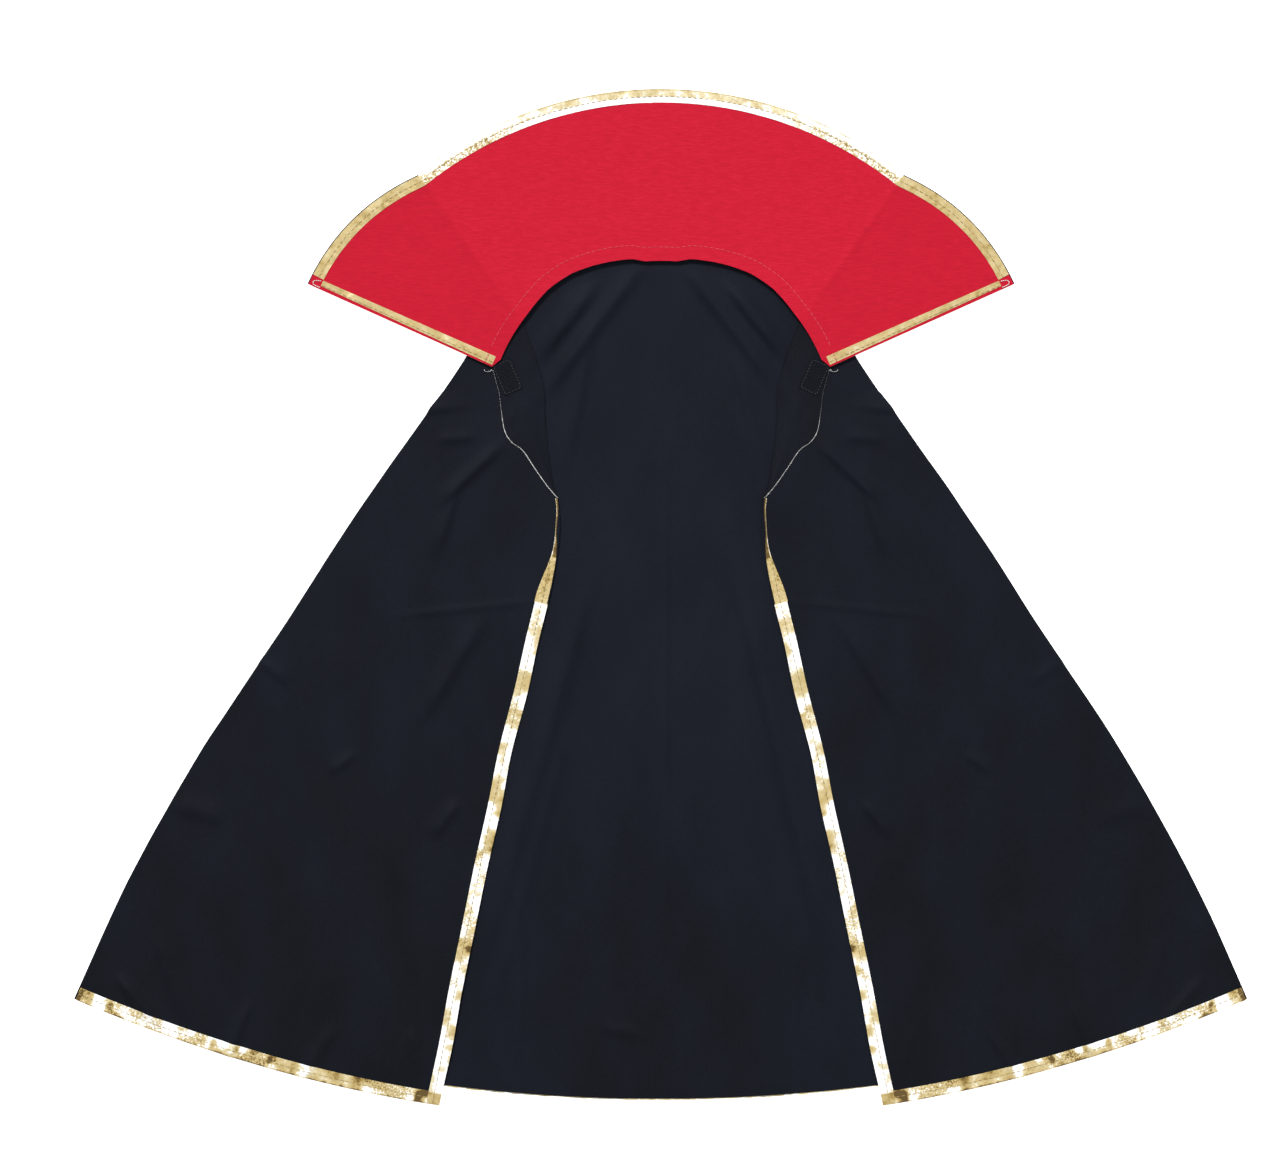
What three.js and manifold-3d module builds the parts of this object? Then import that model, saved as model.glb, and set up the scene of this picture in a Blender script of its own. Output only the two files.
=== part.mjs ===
// A child's costume cape with a stand-up fan collar, laid out flat with its fronts folded over the
// back. Millimetres, +X across the cape, +Y up towards the collar, +Z up from the floor.
// Every piece is a flat plate cut from its outline. Outlines are drawn about the centre of the
// neckline circle, for the side x < 0, and the other side is their mirror image. The finished
// cape is then centred on its own box, standing on z = 0.
import * as THREE from 'three';
import { mergeVertices } from 'three/addons/utils/BufferGeometryUtils.js';
import Module from 'manifold-3d';

// ---- Driving dimensions ----------------------------------------------------------------------
// neck and collar
const neckRadius = 148;            // neckline, seam of collar and cape
const neckEndAngle = 24.2;         // degrees above the horizontal where the neckline ends
const foldAboveNeckEnd = 7.2;      // crease that lets the collar stand, above the neck ends
const collarHeight = 134;          // neckline to outer edge at the middle of the back
const collarArcRadius = 312;       // outer edge of the collar's middle
const wingCreaseAngle = 38.5;      // degrees from the vertical, on the outer arc, of each wing's crease
const wingEndLength = 162;         // neck end to the wing's tip
const wingBow = 11.5;              // rise of the wing's outer edge over its chord
const topstitchFromNeck = 11;      // row of stitches above the neckline

// cape body
const sideTopOutside = 22.6;       // top of the side fold, where it comes out from under the collar,
const sideTopAbove = 4.1;          // from the neck end
const sideHemX = 467.5;            // foot of the side fold, where it meets the hem
const sideHemY = -444.6;
const sideBow = 18;                // how far the side fold bows out from its chord
const sideBowSkew = 1.25;          // puts the fullest place below the middle
const backHemSag = 80;             // drop of the back hem below its two ends
const frontHemX = 177.8;           // front bottom corner
const frontHemDrop = 84.8;         // below the foot of the side fold
const frontHemSag = 9.5;           // bow of the front hem over its chord
const frontEdgeBow = 9;            // bow of the front edge
const frontEdgeBowAt = 0.13;       // share of the front edge where it is fullest

// turned-back neck corner of each front
const lapelTipInside = 52.6;       // foot of the turned corner, where the front edge comes to the top,
const lapelTipBelow = 104.7;       // from the neck end
const lapelNeckAngle = 41.4;       // degrees above the horizontal where its fold starts, on the neckline
const lapelEdgeBelly = 14;         // how far its free edge bows out
const lapelFoldBelly = 3;          // how far its folded edge bows out

// hook-and-loop patches
const patchWidth = 16.5;
const patchLength = 27;
const patchTilt = 23;              // degrees from the cape's length
const patchFromNeckEndX = 13.5;    // centre of the patch from the neck end
const patchFromNeckEndY = -8.8;

// trims
const tapeWidth = 10.4;
const endTapeWidth = 7;
const threadWidth = 0.8;

// thicknesses, and the gap kept between pieces that lie on each other
const clothThickness = 1.2;
const foldThickness = 2;           // a turned corner: two layers of cloth
const liningThickness = 0.8;
const stiffenerThickness = 1;
const tapeThickness = 0.4;
const threadThickness = 0.3;
const patchThickness = 1.7;
const gap = 0.3;
const edgeClearance = 0.5;         // between a moving front and the corner that stays
const endClearance = 1;            // a front's top end stays this far below the top of its side fold
const footClearance = 2;           // a wing's foot dips towards the back as it turns

// ---- Heights of the layers ---------------------------------------------------------------------
const backZ = tapeThickness + gap;
const frontZ = backZ + clothThickness + gap;
const frontTapeZ = frontZ + clothThickness + gap;
const frontThreadZ = frontTapeZ + tapeThickness + gap;
const lapelZ = frontZ + tapeThickness + gap;
const patchZ = lapelZ + foldThickness + gap;
const neckCornerThickness = lapelZ + foldThickness - frontZ;
const stiffenerZ = backZ + liningThickness + gap;
const faceZ = stiffenerZ + stiffenerThickness + gap;
const collarTapeZ = faceZ + liningThickness + gap;

// ---- Colours ------------------------------------------------------------------------------------
const finishes = {
  blackCloth: { color: 0x20232b, roughness: 0.85, metalness: 0 },
  redCloth: { color: 0xd7253d, roughness: 0.8, metalness: 0 },
  blackLining: { color: 0x1a1c22, roughness: 0.85, metalness: 0 },
  interlining: { color: 0xe8e6e0, roughness: 0.9, metalness: 0 },
  goldTape: { color: 0xd9c27e, roughness: 0.35, metalness: 0.8 },
  goldThread: { color: 0xc9ad63, roughness: 0.6, metalness: 0.2 },
  redThread: { color: 0xb01c30, roughness: 0.7, metalness: 0 },
  hookTape: { color: 0x17181c, roughness: 0.9, metalness: 0 },
};

// ---- Drawing helpers ------------------------------------------------------------------------------
const wasm = await Module();
wasm.setup();

const far = 2000;
const point = (x, y) => new THREE.Vector2(x, y);
const leftNormal = (along) => point(-along.y, along.x).normalize();

/** A point on the left of the neck, at an angle in degrees above the horizontal. */
function polar(radius, degrees) {
  const angle = THREE.MathUtils.degToRad(degrees);
  return point(-radius * Math.cos(angle), radius * Math.sin(angle));
}

/** Points from a to b, pushed sideways by bow(t), positive to the left of a -> b. */
function bowed(a, b, bow, steps) {
  const along = b.clone().sub(a);
  const left = leftNormal(along);
  return Array.from({ length: steps + 1 }, (_, i) => {
    const t = i / steps;
    return a.clone().addScaledVector(along, t).addScaledVector(left, bow(t));
  });
}

/** A shallow round bow of the given rise over its chord. */
const rise = (height) => (t) => 4 * height * t * (1 - t);

/** Points on a circle about (0, centreY), between two angles from the vertical, in degrees. */
function arc(centreY, radius, from, to, steps) {
  return Array.from({ length: steps + 1 }, (_, i) => {
    const angle = THREE.MathUtils.degToRad(from + ((to - from) * i) / steps);
    return point(radius * Math.sin(angle), centreY + radius * Math.cos(angle));
  });
}

/** A curve moved to its left. */
function offset(points, distance) {
  return points.map((p, i) => {
    const before = points[Math.max(i - 1, 0)];
    const after = points[Math.min(i + 1, points.length - 1)];
    return p.clone().addScaledVector(leftNormal(after.clone().sub(before)), distance);
  });
}

/** The band between two distances to the left of a curve. */
const band = (points, near, wide) => [...offset(points, near), ...offset(points, wide).reverse()];

/** The whole plane to the left of a -> b, less a margin. */
function leftOf(a, b, margin = 0) {
  const along = b.clone().sub(a).normalize();
  const left = leftNormal(along);
  const start = a.clone().addScaledVector(left, margin).addScaledVector(along, -far);
  const end = a.clone().addScaledVector(left, margin).addScaledVector(along, far);
  return [start, end, end.clone().addScaledVector(left, far), start.clone().addScaledVector(left, far)];
}

const above = (y) => leftOf(point(0, y), point(1, y));
const below = (y) => leftOf(point(1, y), point(0, y));
const mirror = (outline) => outline.map((p) => point(-p.x, p.y)).reverse();

/** A closed prism over an outline, with only its positions left. */
function prism(outline, z, thickness) {
  const options = { depth: thickness, bevelEnabled: false };
  const geometry = new THREE.ExtrudeGeometry(new THREE.Shape(outline), options);
  geometry.translate(0, 0, z);
  geometry.deleteAttribute('normal');
  geometry.deleteAttribute('uv');
  const merged = mergeVertices(geometry, 1e-4);
  return new wasm.Manifold(new wasm.Mesh({
    numProp: 3,
    vertProperties: new Float32Array(merged.attributes.position.array),
    triVerts: new Uint32Array(merged.index.array),
  }));
}

/** A flat plate of an outline, kept inside some outlines and cut away by others. */
function plate({ outline, z, thickness, inside = [], without = [] }) {
  const cutter = (shape) => prism(shape, z - 1, thickness + 2);
  let solid = prism(outline, z, thickness);
  for (const shape of inside) solid = solid.intersect(cutter(shape));
  for (const shape of without) solid = solid.subtract(cutter(shape));
  const { vertProperties, triVerts } = solid.getMesh();
  const geometry = new THREE.BufferGeometry();
  geometry.setAttribute('position', new THREE.BufferAttribute(vertProperties, 3));
  geometry.setIndex(new THREE.BufferAttribute(triVerts, 1));
  geometry.computeVertexNormals();
  return geometry;
}

const cape = new THREE.Group();

function add(name, finish, form) {
  const mesh = new THREE.Mesh(plate(form), new THREE.MeshStandardMaterial(finishes[finish]));
  mesh.name = name;
  cape.add(mesh);
}

/** A piece drawn for the side x < 0, and its mirror image for the other side. */
function addPair(leftName, rightName, finish, form) {
  const { outline, inside = [], without = [] } = form;
  add(leftName, finish, form);
  add(rightName, finish, {
    ...form,
    outline: mirror(outline),
    inside: inside.map(mirror),
    without: without.map(mirror),
  });
}

// ---- Lines that several pieces share -------------------------------------------------------------
// neck: the neckline, its end, and the crease across the yoke that lets the collar stand
const neckEnd = polar(neckRadius, neckEndAngle);
const foldY = neckEnd.y + foldAboveNeckEnd;
const neckSpan = 90 - neckEndAngle;
const neckline = arc(0, neckRadius, -neckSpan, neckSpan, 48);
const insideNeck = arc(0, neckRadius - gap, -neckSpan, neckSpan, 48);

// collar: outer edges of its middle and of its wing, and the crease between them
const collarArcY = neckRadius + collarHeight - collarArcRadius;
const collarEdge = arc(collarArcY, collarArcRadius, -wingCreaseAngle, wingCreaseAngle, 40);
const creaseTop = collarEdge[0];
const wingTip = polar(neckRadius + wingEndLength, neckEndAngle);
const wingEdge = bowed(wingTip, creaseTop, rise(wingBow), 14);

// side fold: the bowed edge of the folded cloth, and the straight line that the front swings on
const sideTop = neckEnd.clone().add(point(-sideTopOutside, sideTopAbove));
const sideHem = point(-sideHemX, sideHemY);
const sideDown = sideHem.clone().sub(sideTop).normalize();
const sideIn = leftNormal(sideDown);
const sideFold = bowed(sideTop, sideHem, (t) => -sideBow * Math.sin(Math.PI * t ** sideBowSkew), 24);
const sideTopHidden = sideTop.clone().addScaledVector(sideDown, -tapeWidth);
const frontSwing = [leftOf(sideTop, sideHem, gap), leftOf(sideTop, sideTop.clone().sub(sideIn), endClearance)];

// hems and front edge
const backHem = bowed(sideHem, point(sideHemX, sideHemY), rise(-backHemSag), 48);
const frontCorner = point(-frontHemX, sideHemY - frontHemDrop);
const frontHem = bowed(sideHem, frontCorner, rise(-frontHemSag), 16);
const lapelTip = neckEnd.clone().add(point(lapelTipInside, -lapelTipBelow));
const fromTip = (t) => (1 - t) / frontEdgeBowAt;
const frontEdge = bowed(frontCorner, lapelTip, (t) => -frontEdgeBow * fromTip(t) * Math.exp(1 - fromTip(t)), 32);

// turned corner: free edge, folded edge
const lapelEdge = bowed(lapelTip, neckEnd, rise(lapelEdgeBelly), 10);
const lapelNeck = arc(0, neckRadius - gap, -neckSpan, lapelNeckAngle - 90, 6);
const lapelFold = bowed(lapelNeck.at(-1), lapelTip, rise(lapelFoldBelly), 10);
const lapelOutline = [...lapelEdge.slice(0, -1), ...lapelNeck, ...lapelFold.slice(1, -1)];

// ---- Back: one panel from side fold to side fold, hem tape on its underside -----------------------
const backSide = [sideTopHidden, ...sideFold];
const backOutline = [...mirror(backSide), ...backSide, ...backHem.slice(1, -1)];

add('back_panel', 'blackCloth', {
  outline: backOutline,
  z: backZ,
  thickness: clothThickness,
  inside: [below(foldY - gap)],
});
add('back_hem_tape', 'goldTape', {
  outline: band(backHem, 0, tapeWidth),
  z: 0,
  thickness: tapeThickness,
  inside: [backOutline],
});
// the turn of the cloth at the side fold, outside the line that the front swings on
addPair('left_side_turn', 'right_side_turn', 'blackCloth', {
  outline: sideFold,
  z: frontZ,
  thickness: clothThickness,
  inside: [leftOf(sideHem, sideTop, gap)],
});

// ---- Turned neck corners: doubled cloth, tape under the free edge, fastening patch on top ----------
addPair('left_lapel', 'right_lapel', 'blackCloth', {
  outline: lapelOutline,
  z: lapelZ,
  thickness: foldThickness,
  inside: [below(foldY - gap)],
});
addPair('left_lapel_tape', 'right_lapel_tape', 'goldTape', {
  outline: band(lapelEdge, -tapeWidth, 0),
  z: frontZ,
  thickness: tapeThickness,
  inside: [lapelOutline, below(foldY - gap)],
});

const patchCentre = neckEnd.clone().add(point(patchFromNeckEndX, patchFromNeckEndY));
const patchCorners = [[-1, -1], [1, -1], [1, 1], [-1, 1]].map(([x, y]) => (
  point((x * patchWidth) / 2, (y * patchLength) / 2)
    .rotateAround(point(0, 0), THREE.MathUtils.degToRad(patchTilt))
    .add(patchCentre)
));
addPair('left_hook_patch', 'right_loop_patch', 'hookTape', {
  outline: patchCorners,
  z: patchZ,
  thickness: patchThickness,
});

// ---- Fronts: panel, tape on the front edge and on the hem, and the rows that sew them on -----------
const frontOutline = [sideTop, sideHem, ...frontHem.slice(1), ...frontEdge.slice(1, -1),
  ...offset(lapelEdge, edgeClearance)];
const edgeTapeArea = band(frontEdge, -gap, tapeWidth + gap);
const threadBand = (edge) => band(edge, (tapeWidth - threadWidth) / 2, (tapeWidth + threadWidth) / 2);

addPair('left_front_panel', 'right_front_panel', 'blackCloth', {
  outline: frontOutline,
  z: frontZ,
  thickness: clothThickness,
  inside: frontSwing,
});
addPair('left_edge_tape', 'right_edge_tape', 'goldTape', {
  outline: band(frontEdge, 0, tapeWidth),
  z: frontTapeZ,
  thickness: tapeThickness,
  inside: [frontOutline],
});
addPair('left_hem_tape', 'right_hem_tape', 'goldTape', {
  outline: band(frontHem, 0, tapeWidth),
  z: frontTapeZ,
  thickness: tapeThickness,
  inside: [frontOutline, ...frontSwing],
  without: [edgeTapeArea],
});
addPair('left_edge_stitch', 'right_edge_stitch', 'goldThread', {
  outline: threadBand(frontEdge),
  z: frontThreadZ,
  thickness: threadThickness,
  inside: [frontOutline],
});
addPair('left_hem_stitch', 'right_hem_stitch', 'goldThread', {
  outline: threadBand(frontHem),
  z: frontThreadZ,
  thickness: threadThickness,
  inside: [frontOutline, ...frontSwing],
  without: [edgeTapeArea],
});

// ---- Yoke: the cloth above the crease, which rises with the collar ---------------------------------
const standing = above(foldY + gap);

add('neck_yoke', 'blackCloth', {
  outline: insideNeck,
  z: backZ,
  thickness: clothThickness,
  inside: [standing],
});
addPair('left_neck_corner', 'right_neck_corner', 'blackCloth', {
  outline: lapelOutline,
  z: frontZ,
  thickness: neckCornerThickness,
  inside: [standing],
});

// ---- Collar middle: backing, stiffener, face, tape on the edge, topstitching by the neckline -------
const creaseRight = mirror([neckEnd, creaseTop]);
const middle = [leftOf(creaseTop, neckEnd, gap), leftOf(creaseRight[1], creaseRight[0], gap), standing];
const middleOutline = [...collarEdge, ...neckline.slice().reverse()];
const stiffenerInset = 2;
const collarLayers = [
  ['backing', 'blackLining', backZ, liningThickness, 0],
  ['stiffener', 'interlining', stiffenerZ, stiffenerThickness, stiffenerInset],
  ['face', 'redCloth', faceZ, liningThickness, 0],
];

for (const [layer, finish, z, thickness, inset] of collarLayers) {
  add(`collar_${layer}`, finish, {
    outline: [...offset(collarEdge, -inset), ...offset(neckline, inset).reverse()],
    z,
    thickness,
    inside: middle,
  });
}
add('collar_edge_tape', 'goldTape', {
  outline: band(collarEdge, -tapeWidth, 0),
  z: collarTapeZ,
  thickness: tapeThickness,
  inside: [middleOutline, ...middle],
});
add('collar_topstitch', 'redThread', {
  outline: band(neckline, topstitchFromNeck, topstitchFromNeck + threadWidth),
  z: collarTapeZ,
  thickness: threadThickness,
  inside: middle,
});

// ---- Collar wings: the same layers, tape on the outer edge and on the end --------------------------
const wing = [leftOf(neckEnd, creaseTop, gap), above(foldY + gap + footClearance)];
const wingOutline = [neckEnd, ...wingEdge.slice().reverse()];
const wingEnd = [wingTip, neckEnd];

for (const [layer, finish, z, thickness, inset] of collarLayers) {
  addPair(`left_wing_${layer}`, `right_wing_${layer}`, finish, {
    outline: wingOutline,
    z,
    thickness,
    inside: wing,
    without: inset ? [band(wingEdge, -inset, inset), band(wingEnd, -inset, inset)] : [],
  });
}
addPair('left_wing_tape', 'right_wing_tape', 'goldTape', {
  outline: band(wingEdge, -tapeWidth, 0),
  z: collarTapeZ,
  thickness: tapeThickness,
  inside: [wingOutline, ...wing],
});
addPair('left_end_tape', 'right_end_tape', 'goldTape', {
  outline: band(wingEnd, 0, endTapeWidth),
  z: collarTapeZ,
  thickness: tapeThickness,
  inside: [wingOutline, ...wing],
  without: [band(wingEdge, -tapeWidth - gap, gap)],
});

// ---- Centre the cape on its own box, standing on z = 0 ---------------------------------------------
const box = new THREE.Box3().setFromObject(cape);
const centre = box.getCenter(new THREE.Vector3());
cape.position.set(-centre.x, -centre.y, -box.min.z);

export default cape;
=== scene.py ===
"""A child's costume cape laid out flat: black knit body with its fronts folded over the back, a stiff
red fan collar, gold foil ribbon on every free edge and hook-and-loop patches at the neck ends.

Shapes are drawn in millimetres about the centre of the neckline circle, for the side x < 0, and
mirrored. A piece is a surface z(u, v) over a four-sided patch of the plane, or a band along an edge.
"""

import bpy
import numpy as np
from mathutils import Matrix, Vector


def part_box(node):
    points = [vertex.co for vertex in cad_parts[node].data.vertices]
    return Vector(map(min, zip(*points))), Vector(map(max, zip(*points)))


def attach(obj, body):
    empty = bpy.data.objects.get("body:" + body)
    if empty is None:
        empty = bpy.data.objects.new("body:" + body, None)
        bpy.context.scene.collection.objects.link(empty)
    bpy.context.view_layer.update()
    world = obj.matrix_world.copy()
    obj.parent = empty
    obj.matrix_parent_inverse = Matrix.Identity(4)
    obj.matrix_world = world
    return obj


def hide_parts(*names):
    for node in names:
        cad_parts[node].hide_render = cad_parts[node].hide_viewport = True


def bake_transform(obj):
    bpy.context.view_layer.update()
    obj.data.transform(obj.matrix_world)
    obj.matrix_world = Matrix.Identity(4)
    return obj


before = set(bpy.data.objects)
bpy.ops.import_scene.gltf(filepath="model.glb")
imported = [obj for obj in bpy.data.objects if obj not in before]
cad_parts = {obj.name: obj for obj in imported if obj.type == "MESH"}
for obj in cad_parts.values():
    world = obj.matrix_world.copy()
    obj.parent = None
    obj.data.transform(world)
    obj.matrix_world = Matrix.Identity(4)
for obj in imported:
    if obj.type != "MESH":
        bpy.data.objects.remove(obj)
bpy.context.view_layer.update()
MM = 0.001

# ---- Driving dimensions, in millimetres, as the frame's pieces have them ----
NECK_RADIUS = 148
NECK_END_ANGLE = 24.2
COLLAR_HEIGHT = 134
COLLAR_ARC_RADIUS = 312
WING_CREASE_ANGLE = 38.5
WING_TIP_RADIUS = 310
WING_BOW = 11.5
SIDE_TOP = (-157.6, 64.8)
SIDE_HEM = (-467.5, -444.6)
SIDE_BOW = 18
SIDE_BOW_SKEW = 1.25
BACK_HEM_SAG = 80
FRONT_CORNER = (-177.8, -529.4)
FRONT_HEM_SAG = 9.5
FRONT_EDGE_BOW = 9
FRONT_EDGE_BOW_AT = 0.13
LAPEL_TIP = (-82.4, -44.0)
LAPEL_NECK_ANGLE = 41.4
PATCH_SIZE = (16.5, 27.0)
PATCH_TILT = 23
PATCH_FROM_NECK_END = (12.2, -8.0)
NECKLINE_END = 62.6  # the collar's lower edge ends this far from the vertical, in degrees
PACKING_CREASE = ((-194, 214), (-131, 124))
RIBBON = 10.4
END_RIBBON = 7.0
STITCH = 4.5
WING_TURN = 1.3  # the black backing shows this far past the red cloth and the ribbon of a wing's outer edge
CORNER_TUCK = 11  # a front's edge runs this far in under its turned corner
FRONT_TWIST = 48  # down to here from its top a front edge's ribbon is turned over
FRONT_JOIN = 86  # down to here it is one length, and then a new length starts
SELVEDGE = 0.9  # of the back hem's ribbon, frayed, past the cloth
OUTER_RIBBON_START = 8  # from the wing's tip
END_RIBBON_START = 11
# up from the hem's corner: where the foil is crinkled gold (middle and half length), and where it is kinked
GOLD_STRETCHES = [(64, 13), (124, 9), (215, 11), (258, 17), (333, 18)]
KINKS = (47, 127, 238, 319)

# heights of the upper face of each layer over the floor
BACK_Z = 1.3
FRONT_Z = 2.6
LAPEL_Z = 3.8
COLLAR_BACKING_Z = 4.4
COLLAR_INTERLINING_Z = 4.9
COLLAR_FACE_Z = 5.5

# thicknesses, and how far the middle of a ribbon or of a row of stitches lies over its cloth
CLOTH = 0.5
RIBBON_THICKNESS = 0.25
RIBBON_LIFT = 0.35
THREAD_LIFT = 0.45
PRESSED = 0.4  # the turned corner of a front lies this much flatter than a loose layer
PATCH_THICKNESS = 0.3
PILE = 0.25

# the centre of the neckline, from the frame's origin
neck_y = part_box("collar_face")[1][1] / MM - NECK_RADIUS - COLLAR_HEIGHT


# ---- Camera ----
def overhead_camera(centre=(-16.8, 8.5), width=1024, lens=85, sensor=36):
    """A camera straight above the cape that sees a given width of floor, in millimetres."""
    data = bpy.data.cameras.new("overhead")
    data.lens = lens
    data.sensor_width = sensor
    data.clip_end = 50
    camera = bpy.data.objects.new("overhead", data)
    camera.location = (centre[0] * MM, centre[1] * MM, width * MM * lens / sensor)
    bpy.context.collection.objects.link(camera)
    bpy.context.scene.camera = camera


overhead_camera()


# ---- Curves and patches ----
def polar(radius, degrees):
    """A point on the left of the neck, at an angle above the horizontal."""
    angle = np.radians(degrees)
    return np.array([-radius * np.cos(angle), radius * np.sin(angle)])


def unit(vector):
    """The vector at length 1."""
    return np.asarray(vector, float) / np.linalg.norm(vector)


def left_normal(along):
    """The unit vector a quarter turn to the left of a direction."""
    along = np.atleast_2d(along)
    normal = np.stack([-along[:, 1], along[:, 0]], 1)
    return normal / np.linalg.norm(normal, axis=1, keepdims=True)


def bowed(a, b, bow, steps=60):
    """Points a + t (b - a), pushed to their left by bow(t)."""
    a, b = np.array(a, float), np.array(b, float)
    t = np.linspace(0, 1, steps + 1)
    return a + t[:, None] * (b - a) + bow(t)[:, None] * left_normal(b - a)


def rise(height):
    """A parabola of a given rise over its chord."""
    return lambda t: 4 * height * t * (1 - t)


def arc(centre_y, radius, start, end, steps=90):
    """Points on a circle about (0, centre_y), between two angles from the vertical, in degrees."""
    angle = np.radians(np.linspace(start, end, steps + 1))
    return np.stack([radius * np.sin(angle), centre_y + radius * np.cos(angle)], 1)


def lengths(points):
    """Distance along a line of points, from its start."""
    steps = np.linalg.norm(np.diff(points, axis=0), axis=1)
    return np.concatenate([[0], np.cumsum(steps)])


def along(points, t):
    """Points at shares t of a line's length."""
    s = lengths(points)
    return np.stack([np.interp(t * s[-1], s, points[:, k]) for k in (0, 1)], -1)


def resample(points, step):
    """A line's points, respaced about step apart."""
    count = max(2, int(round(lengths(points)[-1] / step)) + 1)
    return along(points, np.linspace(0, 1, count))


def offset(points, distance):
    """A line of points moved to its left."""
    return points + left_normal(np.gradient(points, axis=0)) * np.reshape(distance, (-1, 1))


def coons(left, right, top, bottom, nu, nv):
    """The patch between four edges: ruled both ways, less the bilinear patch of its corners.

    left and right run from the top to the bottom, top and bottom from left to right.
    """
    u, v = np.linspace(0, 1, nu)[None, :, None], np.linspace(0, 1, nv)[:, None, None]
    sides = (1 - u) * along(left, v[..., 0]) + u * along(right, v[..., 0])
    ends = (1 - v) * along(top, u[..., 0]) + v * along(bottom, u[..., 0])
    upper = (1 - u) * top[0] + u * top[-1]
    lower = (1 - u) * bottom[0] + u * bottom[-1]
    return sides + ends - (1 - v) * upper - v * lower


def through(points, steps=12):
    """A smooth line through chosen points: Catmull-Rom, p(t) cubic with slopes (next - previous) / 2."""
    p = np.array(points, float)
    p = np.vstack([2 * p[0] - p[1], p, 2 * p[-1] - p[-2]])
    t = np.linspace(0, 1, steps, endpoint=False)[None, :, None]
    a, b, c, d = (p[k:len(p) - 3 + k, None] for k in range(4))
    square, cube = a - 2.5 * b + 2 * c - d / 2, 1.5 * (b - c) + (d - a) / 2
    cubic = b + t * (c - a) / 2 + t**2 * square + t**3 * cube
    return np.vstack([cubic.reshape(-1, 2), p[-2]])


def strip(edge, near, wide, across, step):
    """A grid over the band between two distances to the left of an edge.

    A distance is a number, or a function of the share of the edge's length.
    """
    line = resample(edge, step)
    share = np.linspace(0, 1, len(line))
    near, wide = (d(share) if callable(d) else np.full(len(line), float(d)) for d in (near, wide))
    distance = near[:, None] + np.linspace(0, 1, across) * (wide - near)[:, None]
    return line[:, None, :] + left_normal(np.gradient(line, axis=0))[:, None, :] * distance[..., None]


def smoothstep(low, high, x):
    """0 up to low, 1 from high, and t^2 (3 - 2 t) between them."""
    t = np.clip((x - low) / (high - low), 0, 1)
    return t * t * (3 - 2 * t)


# ---- Uneven surfaces ----
def noise(points, size, seed, stretch=(1, 1), turn=0.0):
    """Smooth random heights from -1 to 1: a lattice of random values, eased between its points."""
    c, s = np.cos(np.radians(turn)), np.sin(np.radians(turn))
    x = (points[..., 0] * c + points[..., 1] * s) / (size * stretch[0]) + 500
    y = (-points[..., 0] * s + points[..., 1] * c) / (size * stretch[1]) + 500
    lattice = np.random.default_rng(seed).uniform(-1, 1, (256, 256))
    i, j = np.floor(x).astype(int), np.floor(y).astype(int)
    fx, fy = smoothstep(0, 1, x - i), smoothstep(0, 1, y - j)
    value = lambda di, dj: lattice[(i + di) % 256, (j + dj) % 256]
    low = value(0, 0) * (1 - fx) + value(1, 0) * fx
    high = value(0, 1) * (1 - fx) + value(1, 1) * fx
    return low * (1 - fy) + high * fy


def crease(points, a, b, width, height, ends=0.25, lean=1.8):
    """A soft fold along a -> b, fading towards both ends: steep on its lower side, gentler on its upper."""
    a, b = np.array(a, float), np.array(b, float)
    length = np.linalg.norm(b - a)
    direction = (b - a) / length
    rel = points - a
    t = rel @ direction / length
    normal = left_normal(direction)[0]
    distance = rel @ normal * np.sign(normal[1] + 1e-6)
    width = np.where(distance > 0, width * lean, width)
    fade = smoothstep(-ends, ends, t) * smoothstep(-ends, ends, 1 - t)
    return height * np.exp(-((distance / width) ** 2)) * fade


# ---- Lines that several pieces share ----
neck_end = polar(NECK_RADIUS, NECK_END_ANGLE)
neck_span = 90 - NECK_END_ANGLE
collar_arc_y = NECK_RADIUS + COLLAR_HEIGHT - COLLAR_ARC_RADIUS
collar_edge = arc(collar_arc_y, COLLAR_ARC_RADIUS, -WING_CREASE_ANGLE, WING_CREASE_ANGLE)
crease_top = collar_edge[0]
wing_tip = polar(WING_TIP_RADIUS, NECK_END_ANGLE)
wing_edge = bowed(wing_tip, crease_top, rise(WING_BOW))
side_down = unit(np.subtract(SIDE_HEM, SIDE_TOP))
side_in = left_normal(side_down)[0]


def side_bow(t):
    """SIDE_BOW sin(pi t^SIDE_BOW_SKEW), a little slacker above the middle and fuller below it."""
    slack = 4.2 * np.exp(-(((t - 0.45) / 0.14) ** 2)) - 1.8 * np.exp(-(((t - 0.85) / 0.13) ** 2))
    return slack - SIDE_BOW * np.sin(np.pi * t**SIDE_BOW_SKEW)


side_fold = bowed(SIDE_TOP, SIDE_HEM, side_bow)
back_hem = bowed(SIDE_HEM, (-SIDE_HEM[0], SIDE_HEM[1]), rise(-BACK_HEM_SAG), 200)
front_hem = bowed(SIDE_HEM, FRONT_CORNER, rise(-FRONT_HEM_SAG))


def front_edge_bow(t):
    """x e^(1 - x), with x the share of the edge from its top over the share where it is fullest."""
    x = t / FRONT_EDGE_BOW_AT
    return FRONT_EDGE_BOW * x * np.exp(1 - x)


front_edge = bowed(LAPEL_TIP, FRONT_CORNER, front_edge_bow, 120)
# the turned corner lies unpressed, so its free edge and its fold wander
lapel_edge = through([neck_end, (-129.5, 40), (-127.6, 26), (-124.8, 10), (-119.2, 0.8), (-110.4, -5.8),
                      (-100.8, -20), (-91.2, -33.6), LAPEL_TIP])
lapel_neck = polar(NECK_RADIUS, LAPEL_NECK_ANGLE)
lapel_fold = through([lapel_neck, (-100.8, 70), (-93.6, 44), (-92.6, 20), (-90.4, -5), (-86.6, -30),
                      LAPEL_TIP])


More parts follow.
